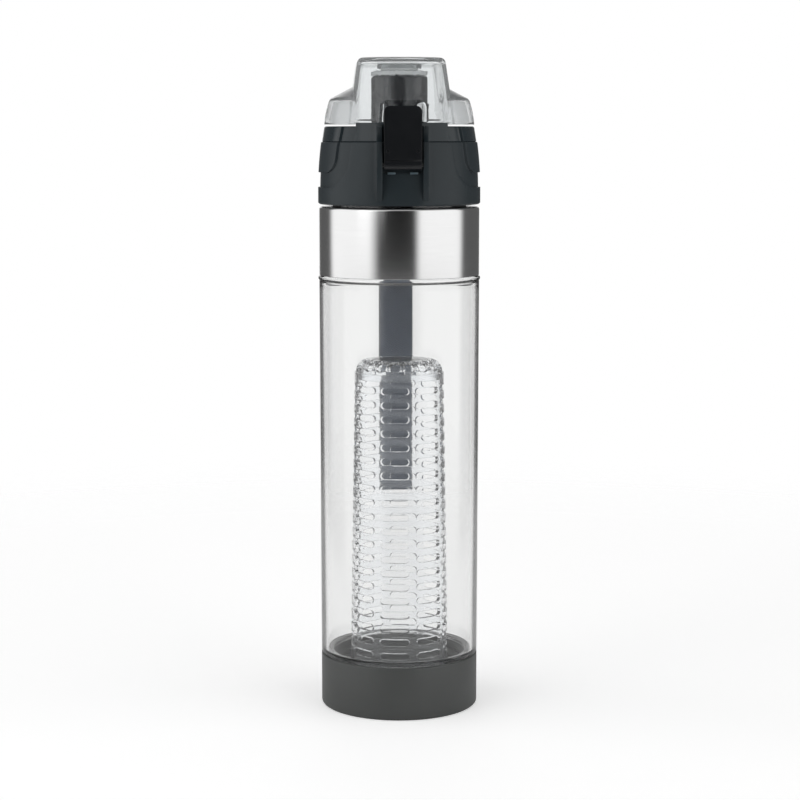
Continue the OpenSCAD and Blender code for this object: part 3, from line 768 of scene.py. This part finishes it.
class INFUSER_OT_lid(bpy.types.Operator):
    """Builds the lid: threaded core, outer shell, deck, gasket and the pins of what turns on it"""
    bl_idname = "infuser.lid"
    bl_label = "Lid"

    def execute(self, context):
        sizes, colours = context.scene.bottle_sizes, context.scene.bottle_colours
        low, high = box_mm("lid_core")
        out, wall_in, ceiling, top = high.x, 29.2, 238.1, 240.5
        chimney, chamber, hole = 13, 11, 9.7
        foot_round, ceiling_round, thread = 0.4, 0.5, (216.6, 232.5)
        outline = [
            (wall_in, low.z, foot_round), (out, low.z, 0.4), (out, top, 0.5), (chimney, top, 0.3),
            (chimney, high.z, 0.3), (chamber, high.z, 0.3), (chamber, top, 0.2), (hole, top, 0.2),
            (hole, ceiling, 0.2), (wall_in, ceiling, ceiling_round)]
        rows = [(wall_in, low.z + foot_round, ceiling - ceiling_round, 60)]
        bm = spun(outline, sizes.round_steps, rows)
        raise_thread(bm, wall_in, *thread, -mm(sizes.thread_depth), mm(sizes.thread_pitch), start=0.5)
        finish = moulded("lid satin", colours.lid, rough=0.4, specular=0.3)
        finished("threaded_core", bm, "lid", ["lid_core"], finish)

        def latch_stops(bm):
            """Two small bars under the latch, with a far paler finish: a painted highlight for the light
            they catch from above.
            """
            old = set(bm.faces)
            for side in (-1, 1):
                add_bar(bm, (side * 4.6, -33.6, 228.25), size=(3.3, 1.0, 0.9), edge=0.2)
            # The bars' faces take the painted highlight finish.
            for face in set(bm.faces) - old:
                face.material_index = 1

        shell = softened(
            "lid_shell", "outer_shell", "lid", finish, edge=0.3, trim=latch_stops)
        # A copy of the lid's finish five times lighter: the latch stops' painted highlight.
        shell.data.materials.append(moulded("lid painted highlight", shade(colours.lid, 5), rough=0.3, specular=0.4))
        softened("lid_deck", "upper_deck", "lid",
                 moulded("deck gloss", colours.lid, rough=0.13, grain_depth=0.004 * MM, specular=0.32))
        dressed("lid_gasket", soft_silicone("lid gasket rubber", colours.silicone))
        for pin, tone in (("hinge_pin", 0.5), ("latch_pin", 0.06), ("strap_pin", 0.5)):
            dressed(pin, pin_steel(pin + " steel", tone))
        return {"FINISHED"}


class INFUSER_OT_spout(bpy.types.Operator):
    """Builds the drinking spout and the ring that seals it"""
    bl_idname = "infuser.spout"
    bl_label = "Spout"

    def execute(self, context):
        colours, steps = context.scene.bottle_colours, 128
        low, high = box_mm("spout")
        bore, spigot, flange, out, deck, ledge = 8.5, 9.6, high.x, 11.8, 247.21, 250.1
        outline = [
            (bore, low.z, 0.3), (spigot, low.z, 0.3), (spigot, deck, 0.1), (flange, deck, 0.2),
            (flange, ledge, 0.9), (out, ledge, 0.9), (out, high.z, 1.1), (bore, high.z, 1.1)]
        bm = spun(outline, steps)
        finished("drinking_spout", bm, "lid", ["spout"],
                 moulded("spout gloss", colours.spout, rough=0.1, grain_depth=0.004 * MM, specular=0.75))
        dressed("spout_o_ring", soft_silicone("spout ring rubber", shade(colours.silicone, 0.6)))
        return {"FINISHED"}


class INFUSER_OT_cover(bpy.types.Operator):
    """Builds the clear flip cover and the silicone seal under its tower"""
    bl_idname = "infuser.cover"
    bl_label = "Flip Cover"

    def execute(self, context):
        colours = context.scene.bottle_colours
        # Painted shade: the cover's tint darkens towards grazing angles, drawing dark lines along its edges.
        edges, refraction = [(0.3, 1.0), (0.75, 0.85), (0.92, 0.6)], 1.4
        finish = clear_moulding("cover smoke", colours.cover, edges, refraction)
        # A milkier, duller copy of the cover's finish: painted light that greys the rims and sides.
        painted_grey_rim_finish = clear_moulding(
            "cover rim painted grey", shade(colours.cover, 0.95), edges, refraction, clarity=0.88)

        def painted_rims_and_webs(bm):
            """Painted grey rims: a milkier copy of the finish on the faces that don't look to the front or
            the back, so that the cover's rims and sides read lighter than the dark they would refract, and
            two webs.
            """
            for face in bm.faces:
                face.material_index = 0 if abs(face.normal.y) > 0.8 else 1
            for side in (-1, 1):
                self.add_web(bm, side)

        cover = softened("flip_cover", "smoked_cover", "cover", finish, edge=0.3,
                         trim=painted_rims_and_webs)
        cover.data.materials.append(painted_grey_rim_finish)
        dressed("cover_seal", soft_silicone("cover seal rubber", (0.93, 0.94, 0.94), see_through=0.85))
        return {"FINISHED"}

    def add_web(self, bm, side):
        """A thin web that carries the tower's side down through the shoulder."""
        low, foot_x, lean, thick = 248.0, 21.3, 0.133, 0.8
        half = [(20.4, 248.4), (19.2, 255), (16, 257.8), (10, 259.4)]
        outline = half + [(0, 260.6)] + [(-y, z) for y, z in reversed(half)]
        corners = [bm.verts.new((side * (foot_x - lean * (z - low)), y, z)) for y, z in outline]
        face = bm.faces.new(corners)
        moved = verts_in(bmesh.ops.extrude_face_region(bm, geom=[face])["geom"])
        bmesh.ops.translate(bm, verts=moved, vec=(-side * thick, 0, 0))
        web = list({item for vert in corners + moved for item in vert.link_faces})
        bmesh.ops.recalc_face_normals(bm, faces=web)
        # The web's rims take the painted grey rim finish, its broad sides the clear one.
        for item in web:
            item.material_index = 0 if abs(item.normal.x) > 0.9 else 1


class INFUSER_OT_latch(bpy.types.Operator):
    """Builds the front latch"""
    bl_idname = "infuser.latch"
    bl_label = "Latch"

    def execute(self, context):
        colours = context.scene.bottle_colours
        front = box_mm("latch")[0].y

        def grip_dimples(bm):
            for side in (-1, 1):
                sink_dimple(bm, Vector((side * 6.1, front, 237.2)), radius=0.8, depth=0.35)

        softened("latch", "latch_flap", "latch_lever",
                 moulded("latch satin", colours.latch, rough=0.3, grain_depth=0.01 * MM),
                 edge=0.35, segments=3, trim=grip_dimples)
        return {"FINISHED"}


class INFUSER_OT_carry_loop(bpy.types.Operator):
    """Builds the carry loop of woven webbing"""
    bl_idname = "infuser.carry_loop"
    bl_label = "Carry Loop"

    def execute(self, context):
        sizes, colours = context.scene.bottle_sizes, context.scene.bottle_colours
        width, thick = mm(sizes.webbing_width), mm(sizes.webbing_thickness)
        columns, tooth, woven_share = 10, 0.55, 0.92
        eye, eye_r = Vector((37.7, 232.9)), 2.95 - thick / 2
        fold, fold_r = Vector((40.25, 91.4)), 5.5 - thick / 2
        line, length = self.mid_line(eye, eye_r, fold, fold_r, mm(sizes.selvedge_pitch) / 2)
        bm = drawn([(-width / 2, behind, height) for behind, height in line])
        edges = bm.edges[:]
        for column in range(columns):
            made = bmesh.ops.extrude_edge_only(bm, edges=edges)["geom"]
            edges = edges_in(made)
            bmesh.ops.translate(bm, verts=verts_in(made), vec=(width / columns, 0, 0))
        self.lay_weave(bm, len(line), length, width)
        for vert in bm.verts:
            if abs(vert.co.x) > width / 2 - NEAR and (vert.index % len(line)) % 2:
                vert.co.x *= 1 - tooth / (width / 2)
        bmesh.ops.recalc_face_normals(bm, faces=bm.faces)
        bmesh.ops.solidify(bm, geom=bm.faces[:], thickness=thick * woven_share)
        piece = finished("webbing_loop", bm, "carry_loop", ["carry_strap"],
                         webbing_weave("loop weave", colours.webbing, width), sharp=50)
        return {"FINISHED"}

    def lay_weave(self, bm, count, length, width):
        """The weave's coordinates: along the loop and across it, in millimetres."""
        uv = bm.loops.layers.uv.new("weave")
        bm.verts.ensure_lookup_table()
        bm.verts.index_update()
        for face in bm.faces:
            rows = [loop.vert.index % count for loop in face.loops]
            wraps = max(rows) - min(rows) > count / 2
            for loop, row in zip(face.loops, rows):
                row += count if wraps and row < count / 2 else 0
                loop[uv].uv = (row * length / count, loop.vert.co.x + width / 2)

    def mid_line(self, eye, eye_r, fold, fold_r, step):
        """Points along the belt round the eye and the fold, about a step apart, and its length."""
        way = fold - eye
        lean = math.asin((fold_r - eye_r) / way.length)
        heading = math.atan2(way.y, way.x)
        straight = math.sqrt(way.length ** 2 - (fold_r - eye_r) ** 2)
        front, back = heading - math.pi / 2 - lean, heading + math.pi / 2 + lean
        over_eye = (math.pi - 2 * lean) * eye_r
        under_fold = (math.pi + 2 * lean) * fold_r
        length = 2 * straight + over_eye + under_fold
        count = 2 * round(length / step / 2)

        def on(centre, radius, angle):
            return centre + Vector((math.cos(angle), math.sin(angle))) * radius

        stretches = (
            (over_eye, lambda past: on(eye, eye_r, back + past / eye_r)),
            (straight, lambda past: on(eye, eye_r, front).lerp(on(fold, fold_r, front), past / straight)),
            (under_fold, lambda past: on(fold, fold_r, front + past / fold_r)),
            (straight, lambda past: on(fold, fold_r, back).lerp(on(eye, eye_r, back), past / straight)))
        line = []
        for index in range(count):
            past = index * length / count
            for reach, place in stretches:
                if past < reach:
                    line.append(place(past))
                    break
                past -= reach
        return line, length


class INFUSER_OT_studio(bpy.types.Operator):
    """Builds the camera, the pale floor and the soft studio light"""
    bl_idname = "infuser.studio"
    bl_label = "Studio"

    def execute(self, context):
        settings = context.scene.studio_settings
        self.camera(context, settings)
        self.floor(context, settings)
        self.world(context)
        self.lamp(context)
        scene = context.scene
        scene.view_settings.view_transform = "Standard"
        scene.cycles.max_bounces = 24
        scene.cycles.transmission_bounces = 24
        scene.cycles.transparent_max_bounces = 16
        return {"FINISHED"}

    def camera(self, context, settings):
        """The place and lens of the photograph's camera, fitted to the bottle's round edges."""
        data = bpy.data.cameras.new("photo_camera")
        data.lens = settings.lens
        data.sensor_width = 36
        data.shift_x = settings.shift
        camera = bpy.data.objects.new("photo_camera", data)
        turn = settings.camera_turn
        camera.location = (
            settings.camera_distance * math.sin(turn), -settings.camera_distance * math.cos(turn),
            settings.camera_height)
        camera.rotation_euler = (math.pi / 2 - settings.camera_pitch, 0, turn)
        context.scene.collection.objects.link(camera)
        context.scene.camera = camera

    def floor(self, context, settings):
        """A round sheet under the bottle; it stays out of the part."""
        bm = bmesh.new()
        bmesh.ops.create_circle(bm, cap_ends=True, segments=96, radius=settings.floor_radius)
        mesh = bpy.data.meshes.new("studio_floor")
        bm.to_mesh(mesh)
        bm.free()
        floor = bpy.data.objects.new("studio_floor", mesh)
        context.scene.collection.objects.link(floor)
        mesh.materials.append(self.paper(settings))

    def paper(self, settings):
        """Pale paper that keeps the bottle's shadow and fades into the white behind it."""
        glow, fade_from, fade_to = 0.42, 0.5 * settings.floor_radius, 0.98 * settings.floor_radius
        material, tree, shader = blank("floor paper")
        path = node(tree, "ShaderNodeLightPath").outputs
        seen = calc(tree, "MAXIMUM", path["Is Camera Ray"], path["Is Transmission Ray"])
        fill(tree, shader, {
            "Base Color": (0.9, 0.9, 0.9, 1), "Roughness": 0.9, "Specular IOR Level": 0.0,
            "Emission Color": (1, 1, 1, 1), "Emission Strength": calc(tree, "MULTIPLY", seen, glow)})
        place = node(tree, "ShaderNodeTexCoord").outputs["Object"]
        distance = node(tree, "ShaderNodeVectorMath", {0: place}, operation="LENGTH").outputs["Value"]
        values = {"Value": distance, "From Min": fade_from, "From Max": fade_to}
        fade = node(tree, "ShaderNodeMapRange", values, interpolation_type="SMOOTHSTEP").outputs["Result"]
        gone = node(tree, "ShaderNodeBsdfTransparent").outputs["BSDF"]
        mixed_surface(tree, fade, shader.outputs["BSDF"], gone)
        return material

    def world(self, context):
        """White to the eye and through clear walls; softboxes and dark flags in reflections."""
        world = bpy.data.worlds.new("studio")
        context.scene.world = world
        world.use_nodes = True
        tree = world.node_tree
        way = node(tree, "ShaderNodeTexCoord").outputs["Generated"]
        split = node(tree, "ShaderNodeSeparateXYZ", {"Vector": way}).outputs
        turn = calc(tree, "ARCTAN2", split["X"], calc(tree, "MULTIPLY", split["Y"], -1.0))
        share = calc(tree, "MULTIPLY_ADD", turn, 1 / (2 * math.pi), 0.5)
        bright, dark, dim, overhead = 1.3, 0.004, 0.12, 0.55
        stops = [
            (-180, 1.0), (-172, 1.0), (-164, dim), (-122, dim), (-112, bright), (-46, bright),
            (-31, dark), (19, dark), (28, bright), (93, bright), (103, dim), (164, dim), (172, 1.0)]
        boxes = ramp(tree, share, [(0.5 + degrees / 360, grey(value)) for degrees, value in stops])
        values = {"Value": split["Z"], "From Min": 0.5, "From Max": 0.75}
        height = node(tree, "ShaderNodeMapRange", values).outputs["Result"]
        studio = mixed_colour(tree, height, boxes, (*grey(overhead), 1))
        path = node(tree, "ShaderNodeLightPath").outputs
        straight = calc(tree, "LESS_THAN", path["Glossy Depth"], 0.5)
        one_wall = calc(tree, "LESS_THAN", path["Transmission Depth"], 2.5)
        clear_way = calc(tree, "MAXIMUM", straight, one_wall)
        through = calc(tree, "MULTIPLY", path["Is Transmission Ray"], clear_way)
        seen = calc(tree, "MAXIMUM", path["Is Camera Ray"], through)
        fill(tree, tree.nodes["Background"], {"Color": mixed_colour(tree, seen, studio, (1, 1, 1, 1))})

    def lamp(self, context):
        """A softbox high on the left, in front."""
        data = bpy.data.lights.new("key_softbox", "AREA")
        data.shape = "RECTANGLE"
        data.size, data.size_y, data.energy = 0.9, 1.0, 1.5
        lamp = bpy.data.objects.new("key_softbox", data)
        lamp.location = (-0.7, -0.75, 0.75)
        middle = Vector((0, 0, 0.17))
        aim = middle - lamp.location
        lamp.rotation_euler = aim.to_track_quat("-Z", "Y").to_euler()
        context.scene.collection.objects.link(lamp)


PIECES = (
    INFUSER_OT_base_cup, INFUSER_OT_clear_wall, INFUSER_OT_steel_collar, INFUSER_OT_basket, INFUSER_OT_lid,
    INFUSER_OT_spout, INFUSER_OT_cover, INFUSER_OT_latch, INFUSER_OT_carry_loop, INFUSER_OT_studio)


class INFUSER_PT_bottle(bpy.types.Panel):
    """Lists the bottle's pieces and sizes in the sidebar"""
    bl_idname = "INFUSER_PT_bottle"
    bl_label = "Infuser Bottle"
    bl_space_type = "VIEW_3D"
    bl_region_type = "UI"
    bl_category = "Infuser Bottle"

    def draw(self, context):
        layout = self.layout
        for piece in PIECES:
            layout.operator(piece.bl_idname)
        for group in (
                context.scene.bottle_sizes, context.scene.bottle_colours, context.scene.studio_settings):
            column = layout.column(align=True)
            for name in group.bl_rna.properties.keys():
                if name not in ("rna_type", "name"):
                    column.prop(group, name)


CLASSES = (BottleSizes, BottleColours, StudioSettings, *PIECES, INFUSER_PT_bottle)


def register():
    for cls in CLASSES:
        bpy.utils.register_class(cls)
    bpy.types.Scene.bottle_sizes = PointerProperty(type=BottleSizes)
    bpy.types.Scene.bottle_colours = PointerProperty(type=BottleColours)
    bpy.types.Scene.studio_settings = PointerProperty(type=StudioSettings)


def unregister():
    del bpy.types.Scene.studio_settings
    del bpy.types.Scene.bottle_colours
    del bpy.types.Scene.bottle_sizes
    for cls in reversed(CLASSES):
        bpy.utils.unregister_class(cls)


def main():
    register()
    for piece in PIECES:
        group, name = piece.bl_idname.split(".")
        getattr(getattr(bpy.ops, group), name)()


if __name__ == "__main__":
    main()
